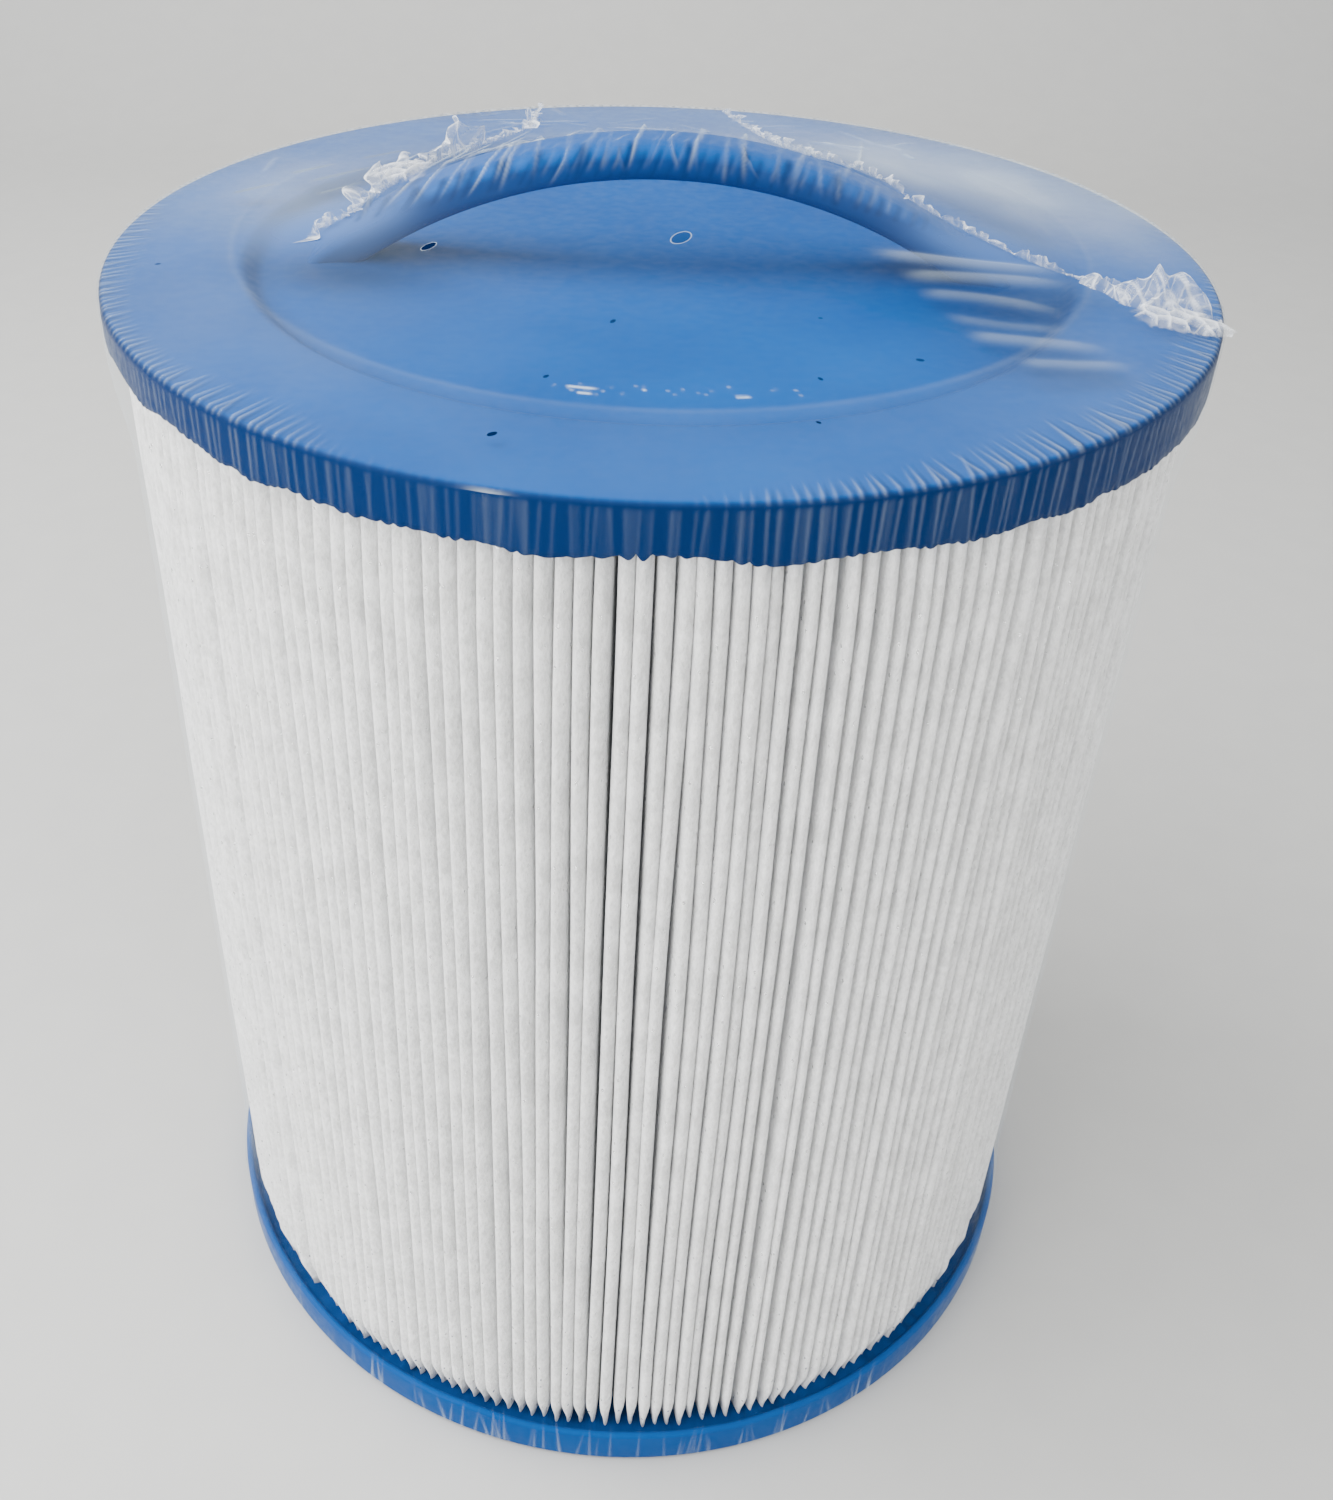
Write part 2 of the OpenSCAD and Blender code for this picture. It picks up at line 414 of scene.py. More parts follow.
# ---- camera, light and floor ---------------------------------------------------------
def make_camera():
    """A hand-held close view from above the front, solved from the two caps' outlines."""
    back, height = 2.873 * CAP_R, 3.365 * CAP_R
    yaw, pitch, roll = -0.0353, -0.638, 0.0237
    forward = Vector(
        (math.sin(yaw) * math.cos(pitch), math.cos(yaw) * math.cos(pitch), math.sin(pitch))
    )
    right = Vector((math.cos(yaw), -math.sin(yaw), 0))
    up = right.cross(forward)
    turned = math.cos(roll) * right + math.sin(roll) * up
    up = math.cos(roll) * up - math.sin(roll) * right
    data = bpy.data.cameras.new("camera")
    data.sensor_width = 36
    data.lens = 37.58
    data.shift_x = 0.0502
    data.clip_start = 0.01
    cam = bpy.data.objects.new("camera", data)
    bpy.context.scene.collection.objects.link(cam)
    cam.matrix_world = Matrix(
        (
            (turned.x, up.x, -forward.x, 0),
            (turned.y, up.y, -forward.y, -back),
            (turned.z, up.z, -forward.z, height),
            (0, 0, 0, 1),
        )
    )
    bpy.context.scene.camera = cam


def area_light(name, place_at, aim, size, power):
    """A rectangular soft light that faces aim, with its power in watts."""
    data = bpy.data.lights.new(name, "AREA")
    data.shape = "RECTANGLE"
    data.size, data.size_y = size
    data.energy = power
    obj = bpy.data.objects.new(name, data)
    bpy.context.scene.collection.objects.link(obj)
    obj.location = place_at
    obj.rotation_euler = (Vector(aim) - Vector(place_at)).to_track_quat("-Z", "Y").to_euler()


def make_lights():
    """A pale room, a key from the left, a big soft box above, and weak lights to fill."""
    world = bpy.data.worlds.new("studio")
    bpy.context.scene.world = world
    world.use_nodes = True
    background = world.node_tree.nodes["Background"]
    background.inputs["Color"].default_value = (0.95, 0.97, 1.0, 1)
    background.inputs["Strength"].default_value = 0.4
    aim = (0, 0, 0.18)
    area_light("key", (-0.75, 0.0, 1.0), aim, (1.0, 0.9), 24)
    area_light("top", (0.1, -0.45, 1.3), aim, (2.2, 2.0), 24)
    area_light("side", (-0.95, -0.75, 0.75), (0, 0, 0.12), (1.0, 0.6), 8)
    area_light("fill", (1.0, -0.2, 0.6), aim, (0.8, 0.8), 6)
    area_light("front", (0.3, -1.2, 0.35), (0, 0, 0.1), (1.2, 0.4), 2.5)
    area_light("low", (-0.5, -0.65, 0.26), (-0.12, -0.2, 0.0), (0.4, 0.2), 5)
    area_light("wall", (-0.4, 0.4, 1.5), (-0.5, 1.3, 0.7), (1.0, 0.5), 12)


def make_stage():
    """Pale floor that curves up into a backdrop."""
    width, front, back, bend, high = 3.0, -1.6, 0.9, 0.4, 1.6
    line = [(front, 0.0), (back, 0.0)]
    for a in np.linspace(0, math.pi / 2, 13)[1:]:
        line.append((back + bend * math.sin(a), bend * (1 - math.cos(a))))
    line.append((back + bend, high))
    pts = np.array([[(x, y, z) for x in (-width, width)] for y, z in line], float)
    floor = grid_mesh("floor", pts)
    s = Shade("pale_floor", (0.46, 0.46, 0.45), 0.6)
    grain = s.noise(60, 4)
    s.set("Base Color", s.blend(grain, (0.44, 0.44, 0.43), (0.48, 0.48, 0.465)))
    floor.data.materials.append(s.material)


# ---- the end caps and the strap ------------------------------------------------------
def lathe(name, rows, theta):
    """A closed ring surface from rows of (radius, height), each a number or an array."""
    pts = np.zeros((len(rows), len(theta), 3))
    for k, (r, z) in enumerate(rows):
        pts[k, :, 0] = r * np.cos(theta)
        pts[k, :, 1] = r * np.sin(theta)
        pts[k, :, 2] = z
    return grid_mesh(name, pts, wrap_v=True, flip=True)


def dish_height(r):
    """Height of the top cap's face at radius r."""
    return FACE_Z - DISH_DEPTH * (1 - smoothstep((r - DISH_R) / DISH_SLOPE))


# Height in millimetres of the resin's lower edge at a few bearings, in degrees from +X
RESIN_EDGE = (
    (-180, 249.6), (-155, 250.3), (-140, 250.0), (-128, 249.4), (-126, 248.0), (-122, 248.8),
    (-110, 248.8), (-98, 247.5), (-91, 249.0), (-86, 248.8), (-79, 247.1), (-72, 247.9),
    (-60, 247.2), (-40, 246.9), (-10, 247.6), (30, 248.9), (62, 247.4), (66, 248.9),
    (110, 248.2), (140, 247.1), (160, 249.3), (180, 249.6),
)


def resin_edge(theta):
    """Where the potting resin stopped: slow runs and drips, and small teeth at the pleats."""
    bearing = (np.degrees(theta) + 180) % 360 - 180
    marks = np.array(RESIN_EDGE)
    slow = np.interp(bearing, marks[:, 0], marks[:, 1]) * MM
    teeth = np.abs(ring_noise(theta, 90, 240, 12, 0.4)) * 0.32 - 0.2
    runs = ring_noise(theta, 20, 80, 14) * 0.22
    return slow + (runs - teeth) * MM


def cap_painted_shade(r, z):
    """How much painted shade darkens the resin: the upright side, turned away from the light, and the
    slope round the dish.
    """
    slope = 0.36 * math.exp(-(((r / MM - 79.4) / 2.9) ** 2)) * (z > SKIRT_Z)
    return float(0.9 * smoothstep((r - SIDE_R + MM) / (0.9 * MM)) + slope)


def make_top_cap(material):
    """Dished face, rounded rim, upright side down to the ragged hem, and the boss below."""
    theta = np.linspace(0, TAU, 2160, endpoint=False)
    hem = resin_edge(theta)
    round_r = 1.1 * MM
    rows = [(0.0, FACE_Z - DISH_DEPTH)]
    rows += [(r, dish_height(r)) for r in (30 * MM, 60 * MM, 74 * MM)]
    rows += [(r, dish_height(r)) for r in np.linspace(DISH_R - MM, DISH_R + DISH_SLOPE + MM, 12)]
    rows += [(r, FACE_Z) for r in (90 * MM, 100 * MM)]
    for a in np.linspace(0, math.pi / 2, 7):
        rows.append((SIDE_R - round_r * (1 - math.sin(a)), FACE_Z - round_r * (1 - math.cos(a))))
    side = SIDE_R + ring_noise(theta, 8, 60, 13) * 0.08 * MM
    for f in (0.3, 0.6, 0.85):
        rows.append((side, FACE_Z - round_r + (hem - FACE_Z + round_r) * f))
    bead_r, bead_h = 0.8 * MM, 0.5 * MM
    for a in np.linspace(0.4, math.pi / 2 + 0.5, 5):
        rows.append((side - bead_r * (1 - math.cos(a)), hem + bead_h * (1 - math.sin(a))))
    inner, plate_z = MEDIA_R - 1.2 * MM, MEDIA_Z1 + 0.1 * MM
    rows += [(inner, hem + 0.9 * MM), (inner, plate_z)]
    rows += [(BOSS_R, plate_z), (BOSS_R, BOSS_Z), (0.0, BOSS_Z)]
    cap = lathe("top_end_cap_resin", rows, theta)
    # Painted shade on the upright side and round the dish's slope
    painted_shading = [cap_painted_shade(np.max(r), np.min(z)) for r, z in rows]
    add_value(cap, "painted_shading", np.repeat(painted_shading, len(theta)))
    place(cap, material, "top_end_cap")


def arc_height(x, half, rise):
    """Height at x of the arc that springs from the rim's level and rises to its crest."""
    radius = (half**2 + rise**2) / (2 * rise)
    return FACE_Z + rise - radius + np.sqrt(radius**2 - x * x)


def arch_top(x):
    """Height of the strap's upper face."""
    return arc_height(x, ARCH_HALF, CREST)


def arch_under(x):
    """Height of the strap's underside."""
    return arc_height(x, GAP_HALF, GAP_RISE)


def strap_painted_shade(ca, sa):
    """How much painted shade darkens the strap round its section: most low on its front, less at the
    back and underneath, none on top.
    """
    most = 0.58 if ca < 0.2 else 0.3
    return most * float(smoothstep((0.5 - sa) / 0.9) * (1 - 0.5 * smoothstep(-sa)))


def make_strap(material):
    """Arched strap with rounded edges, its feet flaring into the dish."""
    turn = np.linspace(0, TAU, 33)[:-1]
    floor_z = FACE_Z - DISH_DEPTH
    end, edge_r, flare = 70.5 * MM, 2.4 * MM, 2.2 * MM
    rows, painted_shading = [], []
    for x in np.linspace(-end, end, 160):
        top, under = arch_top(x), arch_under(x)
        mid, half = (top + under) / 2, (top - under) / 2
        near = 1 - smoothstep((top - floor_z) / (7 * MM))
        wide = STRAP_HALF - 0.1 * MM + flare * near * near
        corner = min(half, edge_r)
        section = []
        for a in turn:
            ca, sa = math.cos(a), math.sin(a)
            y = math.copysign(wide - corner, ca) + corner * ca
            z = math.copysign(half - corner, sa) + corner * sa
            section.append((x, y, mid + z))
            painted_shading.append(strap_painted_shade(ca, sa))
        rows.append(section)
    pts = np.array(rows)
    # A moulding is never quite square: the sections lean a little across the strap
    pts[:, :, 0] += 0.25 * MM * np.sin(pts[:, :, 1] * 900)
    strap = grid_mesh("lifting_strap_moulding", pts, wrap_v=True)
    # Painted shade, darkest low on the strap's front face
    add_value(strap, "painted_shading", painted_shading)
    place(strap, material, "lifting_strap")


def make_bottom_cap(material):
    """Flat underside with the outlet bore, raised lip, and a well of resin at the pleats."""
    theta = np.linspace(0, TAU, 720, endpoint=False)
    lip = LIP_Z + ring_noise(theta, 4, 60, 21) * 0.25 * MM
    well = MEDIA_Z0 + ring_noise(theta, 30, 216, 22, 0.3) * 0.35 * MM + 0.4 * MM
    round_r, lip_r = 1.5 * MM, 0.9 * MM
    rows = [(BORE_R, LOW_BOSS_Z), (BORE_R, 1.0 * MM), (BORE_R + 0.8 * MM, 0.0)]
    rows += [(60 * MM, 0.0), (SIDE_R - 2 * MM, 0.0)]
    for a in np.linspace(0, math.pi / 2, 6):
        rows.append((SIDE_R - round_r * (1 - math.sin(a)), round_r * (1 - math.cos(a))))
    rows += [(SIDE_R, 0.55 * LIP_Z)]
    for a in np.linspace(0, math.pi, 9):
        rows.append((SIDE_R - lip_r * (1 - math.cos(a)), lip - lip_r * (1 - math.sin(a))))
    rows += [(SIDE_R - 2.4 * MM, well + 1.0 * MM), (SIDE_R - 3.4 * MM, well)]
    rows += [(MEDIA_R - 8 * MM, well), (MEDIA_R - 12 * MM, MEDIA_Z0)]
    rows += [(BOSS_R, MEDIA_Z0), (BOSS_R, LOW_BOSS_Z), (BORE_R, LOW_BOSS_Z)]
    cap = lathe("bottom_end_cap_resin", rows, theta)
    # An even, light painted shade over the whole bottom cap
    add_value(cap, "painted_shading", np.full(len(rows) * len(theta), 0.3))
    place(cap, material, "bottom_end_cap")


# ---- pleats --------------------------------------------------------------------------
# Half of a pleat's outline in millimetres: place across the pleat and depth below the
# fold, from the root between two pleats up to just before the fold
HALF_PLEAT = (
    (0.66, 56.0), (1.00, 30.0), (1.30, 14.0), (1.40, 8.0), (1.44, 4.5), (1.44, 3.0),
    (1.36, 1.9), (1.20, 1.1), (0.92, 0.52), (0.50, 0.14),
)


def pleat_habits():
    """How each pleat stands: shift and lean sideways in millimetres, height and overlap."""
    centre = np.arange(PLEATS) * TAU / PLEATS
    r = np.random.default_rng(31)
    shift = r.normal(0, 0.14, PLEATS)
    shift += 0.35 * ring_noise(centre, 6, 30, 32)
    tall = np.clip(r.normal(0, 0.35, PLEATS), -0.9, 0.5)
    away = (centre + math.pi / 2 + math.pi) % TAU - math.pi
    lean = 2.4 * np.sin(np.clip(away, -1.2, 1.2)) * np.exp(-((away / 1.9) ** 4))
    lean += 1.3 * ring_noise(centre, 3, 9, 33) * smoothstep((np.abs(away) - 1.3) / 0.8)
    lean += r.normal(0, 0.13, PLEATS)
    return centre, shift, lean, tall, ring_noise(centre, 3, 40, 34)


def make_pleats(material):
    """Each pleat is its own fold, with its own lean, height and slow waver up its length."""
    low, high = MEDIA_Z0 + 0.05 * MM, MEDIA_Z1
    pinched = low + 16 * MM
    zs = np.concatenate([np.linspace(low, pinched, 12)[:-1], np.linspace(pinched, high, 34)])
    profile = [(-u, d) for u, d in HALF_PLEAT] + [(0.0, 0.0)] + list(HALF_PLEAT[::-1])
    u0 = np.array([p[0] for p in profile]) * MM
    d0 = np.array([p[1] for p in profile]) * MM
    centre, shift, lean, tall, lap = pleat_habits()
    pts = np.zeros((PLEATS, len(u0), len(zs), 3))
    # The folds are pinched together at the bottom cap, and lean less near the top cap
    close = 1 - smoothstep((zs - low) / (11 * MM))
    grip = smoothstep((high - zs) / (22 * MM))
    squeeze = 1 - 0.62 * close[None, :] * np.clip(1 - d0 / (20 * MM), 0, 1)[:, None]
    near_tip = np.clip(1 - d0 / (14 * MM), 0, 1)[:, None] ** 1.4
    for i in range(PLEATS):
        waver = 0.20 * line_noise(zs, 2, 14, 400 + i, 1.2) + 0.35 * line_noise(zs, 2, 5, 700 + i // 5)
        tip = (shift[i] + lean[i] * (0.25 + 0.75 * grip) + waver) * MM * (1 - 0.8 * close)
        drop = (0.3 - tall[i] + 0.12 * line_noise(zs, 4, 20, 900 + i)) * MM + 1.9 * MM * close
        tilt = (0.75 + 0.25 * lap[i]) * MM * (1 - 0.7 * close)[None, :]
        sunk = d0[:, None] + tilt * np.clip(u0 / (1.4 * MM), -1, 1)[:, None]
        across = u0[:, None] * squeeze + tip[None, :] * near_tip
        radius = MEDIA_R - 0.55 * MM - sunk - np.clip(drop, 0, None)[None, :] * near_tip**0.5
        angle = centre[i] + across / radius
        pts[i, :, :, 0] = radius * np.cos(angle)
        pts[i, :, :, 1] = radius * np.sin(angle)
        pts[i, :, :, 2] = zs[None, :]
    pleats = grid_mesh("pleated_sheet", pts.reshape(PLEATS * len(u0), len(zs), 3), wrap_u=True)
    depth = np.clip(d0 / (9 * MM), 0, 1)
    add_value(pleats, "depth", np.tile(np.repeat(depth, len(zs)), PLEATS))
    place(pleats, material, "pleated_media")


# ---- shrink film ---------------------------------------------------------------------
# The sheet over the strap: points along a side of its square grid, sweeps, and the
# over-relaxation that makes them settle
GRID = 181
SWEEPS = 700
OVER = 1.9


def strap_block(x, y):
    """Height of what the sheet can't sink below: the strap with its edges rounded off."""
    top = arch_top(np.clip(x, -69 * MM, 69 * MM)) - FACE_Z
    edge = smoothstep((np.abs(y) - (STRAP_HALF - 2.4 * MM)) / (2.4 * MM))
    block = np.where(np.abs(y) <= STRAP_HALF, top + FILM_GAP - 1.2 * MM * edge**2, 0)
    return np.where(np.abs(x) < ARCH_HALF, np.clip(block, 0, None), 0)


def relax_tent():
    """Height of a taut sheet pinned at the rim and pushed up by the strap, on a square grid."""
    line = np.linspace(-CAP_R, CAP_R, GRID)
    x, y = np.meshgrid(line, line, indexing="ij")
    inside = np.hypot(x, y) < CAP_R - 0.3 * MM
    inside[0, :] = inside[-1, :] = inside[:, 0] = inside[:, -1] = False
    block = strap_block(x, y)
    h = np.clip(CREST * (1 - np.abs(y) / CAP_R) * (1 - (x / CAP_R) ** 2), 0, None)
    h = np.where(inside, np.maximum(h, block), 0)
    odd = np.indices(h.shape).sum(axis=0) % 2
    for _ in range(SWEEPS):
        for colour in (0, 1):
            mean = np.zeros_like(h)
            mean[1:-1, 1:-1] = (h[2:, 1:-1] + h[:-2, 1:-1] + h[1:-1, 2:] + h[1:-1, :-2]) / 4
            h = np.where(inside & (odd == colour), np.maximum(h + OVER * (mean - h), block), h)
    return line, h


def sample(line, h, x, y):
    """Bilinear height of the square grid at x, y."""
    n = len(line)
    f = (np.clip(x, line[0], line[-1]) - line[0]) / (line[1] - line[0])
    g = (np.clip(y, line[0], line[-1]) - line[0]) / (line[1] - line[0])
    i = np.clip(f.astype(int), 0, n - 2)
    j = np.clip(g.astype(int), 0, n - 2)
    f, g = f - i, g - j
    return (
        h[i, j] * (1 - f) * (1 - g) + h[i + 1, j] * f * (1 - g)
        + h[i, j + 1] * (1 - f) * g + h[i + 1, j + 1] * f * g
    )


def crease_line(x, y, start, end, width, sway=0.0):
    """1 on the line from start to end, falling off over width, and fading at both ends."""
    s, e = np.array(start) * MM, np.array(end) * MM
    d = e - s
    length = np.hypot(*d)
    t = ((x - s[0]) * d[0] + (y - s[1]) * d[1]) / length**2
    off = ((x - s[0]) * d[1] - (y - s[1]) * d[0]) / length
    off = off - sway * MM * np.sin(np.clip(t, 0, 1) * math.pi)
    fade = smoothstep(t / 0.2) * smoothstep((1 - t) / 0.35)
    return np.exp(-((off / (width * MM)) ** 2)) * fade


# All of the places below are in millimetres, seen from above.
# Tension folds that run out from the strap's right foot: start, end, width, strength
STREAKS = (
    ((37, -28), (78, -17), 1.7, 0.75), ((42, -34.5), (78, -23), 1.8, 0.65),
    ((45, -39.5), (74, -37), 1.6, 0.5), ((49, -46), (74, -43.5), 1.4, 0.3),
    ((52, -52), (80, -49), 1.7, 0.6), ((60, -59), (83, -54), 1.4, 0.5),
)
# Dimples at the left, where the film hangs clear of the cap, drawn only as painted shade: start, end,
# width
DIMPLES = (
    ((-80, 30), (-70, 36), 1.2), ((-74, 20), (-60, 27), 1.3), ((-90, 18), (-80, 23), 1.1),
    ((-66, 38), (-55, 44), 1.2), ((-70, 8), (-60, 12), 1.0),
)
# Patches of painted reflection of the bright room on the film over the top: place, radius, whiteness
REFLECTION_PATCHES = (
    (-85, -45, 38, 0.06), (-75, 16, 26, 0.30), (54, 44, 32, 0.44), (84, 26, 32, 0.32),
    (-61, -14, 10, 0.05), (56, -16, 9, 0.04), (-45, -50, 25, 0.035), (80, -66, 30, 0.04),
)
# Where the taut film hides the strap's feet behind a blue sheen: place, radius, strength
BLOOM = (
    (-62, -15, 10, 0.8), (-52, -14, 6, 0.4), (-70, -12, 9, 0.5),
    (61, -17, 10, 0.75), (52, -15, 6, 0.4), (69, -14, 9, 0.5),
)
# Bright dashes where the film is stretched over the front of the dish's edge
GLINTS = (
    ((-14, -76.8), (-8, -77.5)), ((-12, -78.6), (-9, -78.9)), ((13, -78.2), (16, -77.8)),
)


def spot(x, y, cx, cy, size):
    """1 at the given place in millimetres, falling off over size."""
    return np.exp(-(((x / MM - cx) ** 2 + (y / MM - cy) ** 2) / size**2))


def painted_reflection(x, y):
    """Whiteness of the film where it isn't folded: painted reflection of the bright room, whiter over
    the flat rim, in a thin line at the dish's edge, in the listed patches and towards the back.
    """
    out = np.hypot(x, y) / MM
    # Painted reflection over the flat rim, and a thin painted highlight just outside the dish's slope
    haze = 0.03 * smoothstep((out - 82) / 3) + 0.05 * np.exp(-(((out - 83.2) / 0.7) ** 2))
    for cx, cy, size, white in REFLECTION_PATCHES:
        haze += white * spot(x, y, cx, cy, size)
    rear = smoothstep((y / MM - 10) / 40) * (0.6 + 0.4 * smoothstep(x / CAP_R + 0.5))
    return (haze + 0.15 * rear) * (0.9 + 0.1 * np.tanh(plane_noise(x, y, 26 * MM, 52)))


def foot_bloom(x, y):
    """Strength of the blue sheen over the strap's feet."""
    out = np.zeros_like(x)
    for cx, cy, size, strength in BLOOM:
        out = out + strength * spot(x, y, cx, cy, size) * (1 - out)
    return out


class Folds:
    """Sums up the small folds of the film over the top: height, whiteness and darkness; the whiteness
    starts from the painted reflection, and the darkness is painted shade.
    """

    def __init__(self, x, y):
        self.x, self.y = x, y
        self.up, self.dark = np.zeros_like(x), np.zeros_like(x)
        self.white = painted_reflection(x, y)

    def ridge(self, start, end, width, sway, up, white):
        """A raised fold, up millimetres high, whitened: milky film with a painted highlight."""
        line = crease_line(self.x, self.y, start, end, width, sway)
        self.up += line * up * MM
        self.white += line * white

    def shadow(self, start, end, width, dark, sway=0.0):
        """Painted shade: the dark hollow beside a fold."""
        self.dark += dark * crease_line(self.x, self.y, start, end, width, sway)


def strap_folds(folds, r):
    """Folds that run back over the strap, every third one long, and corrugations on its
    front edge."""
    for k, x0 in enumerate(np.linspace(-56, 42, 30)):
        x0 = x0 + r.normal(0, 1.0)
        long = k % 3 == 0 or x0 < -30
        reach = r.uniform(38, 88) if long else r.uniform(10, 26)
        end = (x0 + reach * r.uniform(0.08, 0.2), reach - 10)
        width = r.uniform(0.3, 0.42)
        start = (x0, -12 - 4 * r.random())
        sway, up, white = r.normal(0, 1.5), r.uniform(0.3, 0.8), r.uniform(0.15, 0.4)
        folds.ridge(start, end, width, sway, up, white * (1.0 if long else 0.25))
        if long:
            folds.shadow((x0 - 1.0, -16), (x0 + 0.4, -2), 0.7, 1.0, 0.3)
    for x0 in np.arange(-28, 50, 2.7):
        x0 = x0 + r.normal(0, 0.35)
        up, white = r.uniform(0.2, 0.5), r.uniform(0.01, 0.06)
        folds.ridge((x0, -13), (x0 + 3.0, 0), 0.45, 0.3, up, white)
        folds.shadow((x0 + 1.3, -15), (x0 + 3.6, -5), 0.5, r.uniform(0.4, 0.9), 0.3)


def tension_folds(folds, r):
    """The streaks at the right foot, each with its painted shadow in front, and the painted shade of
    the dimples.
    """
    ahead = 3.6
    for start, end, width, size in STREAKS:
        folds.ridge(start, end, width, r.normal(0, 1), 0.8 * size, 0.27 * size)
        (x0, y0), (x1, y1) = start, end
        folds.shadow((x0, y0 - ahead), (x1, y1 - ahead), 1.7 * width, 0.9 * size)
    for start, end, width in DIMPLES:
        folds.shadow(start, end, width, 0.9)


def rear_folds(folds, r):
    """Short folds that lie every way behind the strap."""
    for _ in range(34):
        a = r.uniform(0, TAU)
        px, py = 60 * math.cos(a) + r.normal(0, 22), 72 + r.normal(0, 16)
        b = r.uniform(0, math.pi)
        length = r.uniform(6, 22)
        end = (px + length * math.cos(b), py + length * math.sin(b))
        folds.ridge((px, py), end, 0.8, 0.0, r.uniform(0.15, 0.5), 0.12)


def dish_glints(folds, r):
    """Bright dashes and specks along the front of the dish's edge."""
    for start, end in GLINTS:
        folds.ridge(start, end, 0.28, 0.0, 0.0, 0.9)
    for _ in range(26):
        px = r.uniform(-16, 24)
        py = -math.sqrt(DISH_R**2 / MM**2 - px * px) + r.normal(0, 0.9)
        folds.ridge((px, py), (px + 0.9, py + 0.2), 0.2, 0.0, 0.0, r.uniform(0.1, 0.4))


def crimp_marks():
    """Bearing, strength and reach of each tuck in the film where it turns over the rim."""
    r = np.random.default_rng(61)
    bearing = (np.arange(CRIMPS) + r.normal(0, 0.14, CRIMPS)) * TAU / CRIMPS
    front = np.abs(turned(bearing, math.radians(-101)))
    calm = smoothstep((front - math.radians(13)) / math.radians(12))
    size = (0.1 + 0.9 * calm) * r.uniform(0.55, 1.0, CRIMPS)
    reach = (3.0 + 4.2 * calm * r.uniform(0.75, 1.0, CRIMPS)) * MM
    reach *= 1 + 0.25 * ring_noise(bearing, 3, 12, 62)
    return bearing, size, np.clip(reach, 2 * MM, 16 * MM)


def tucks(theta, inward, marks, wide, height, taper=1.0):
    """Ridges that start at an edge and run inward, as a map of heights. The marks are their
    bearings, sizes and reaches, and a low taper leaves them wide and upright."""
    up = np.zeros((len(inward), len(theta)))
    r = np.random.default_rng(63)
    for a, size, reach in zip(*marks):
        slant = r.normal(0.0, 0.12) * taper
        rows = inward < reach
        t = (inward[rows] / reach)[:, None]
        off = turned(theta[None, :], a)
        columns = np.abs(off[0]) < 6 * wide
        off = off[:, columns] - slant * t * reach / CAP_R
        ridge = np.exp(-((off / (wide * (1.05 - 0.75 * taper * t))) ** 2))
        ridge *= (1 - t) ** (0.8 * taper)
        up[np.ix_(rows, columns)] += ridge * size * height
    return up


def turned(theta, bearing):
    """Angle from a bearing to theta, between minus and plus half a turn."""
    return (theta - bearing + math.pi) % TAU - math.pi


def make_film_top(material, line, h):
    """The tent: the taut sheet with its folds, and tucks where it turns over the rim."""
    theta = np.linspace(0, TAU, FILM_STEPS, endpoint=False)
    inward = np.concatenate([np.linspace(0, 14 * MM, 26)[:-1], np.linspace(14 * MM, RIM_R, 180)])
    radius = RIM_R - inward
    radius[-1] = 1e-5
    x = radius[:, None] * np.cos(theta)[None, :]
    y = radius[:, None] * np.sin(theta)[None, :]
    z = sample(line, h, x, y)
    folds, r = Folds(x, y), np.random.default_rng(51)
    for add in (strap_folds, tension_folds, rear_folds, dish_glints):
        add(folds, r)
    bearing, size, reach = crimp_marks()
    between = bearing + 0.4 * TAU / CRIMPS
    off_rim = smoothstep(inward / (0.9 * MM))[:, None]
    crimp = tucks(theta, inward, (bearing, size, reach), 0.0032, 0.35 * MM) * off_rim
    # Painted shade beside each tuck
    beside = tucks(theta, inward, (between, size, reach), 0.0042, 0.9) * off_rim
    # A painted highlight on the rim's rounded edge at the front left
    glint = np.exp(-((turned(theta, math.radians(257.5)) / 0.025) ** 2))
    glint = glint * (inward < 0.5 * MM)[:, None]
    hold = smoothstep(inward / (6 * MM))[:, None]
    drop = 0.9 * MM * np.clip(1 - inward / (1.2 * MM), 0, 1)[:, None] ** 2
    pts = np.stack([x, y, FILM_Z + z + folds.up * hold + crimp - drop], -1)
    film = grid_mesh("shrink_film_top", pts, wrap_v=True, flip=True)
    # Whiteness of folds and tucks, with the painted reflection and painted glints
    crease_and_sheen = folds.white * smoothstep(inward / (1.6 * MM))[:, None]
    add_value(film, "crease_and_sheen", np.clip(crease_and_sheen + 0.8 * crimp / MM + 0.45 * glint, 0, 1))
    add_value(film, "shade", np.clip(folds.dark + beside, 0, 1))
    add_value(film, "bloom", foot_bloom(x, y) * (np.abs(z) < 15 * MM))
    place(film, material, "film_top")


def sleeve_radius(z):
    """The taut sleeve bridges from cap to cap and rests on the folds between."""
    cap, waist = RIM_R, MEDIA_R + 0.45 * MM
    near_top = smoothstep((z - (SKIRT_Z - 26 * MM)) / (26 * MM)) ** 1.6
    near_low = smoothstep(((LIP_Z + 24 * MM) - z) / (24 * MM)) ** 1.6
    return waist + (cap - waist) * np.maximum(near_top, near_low)


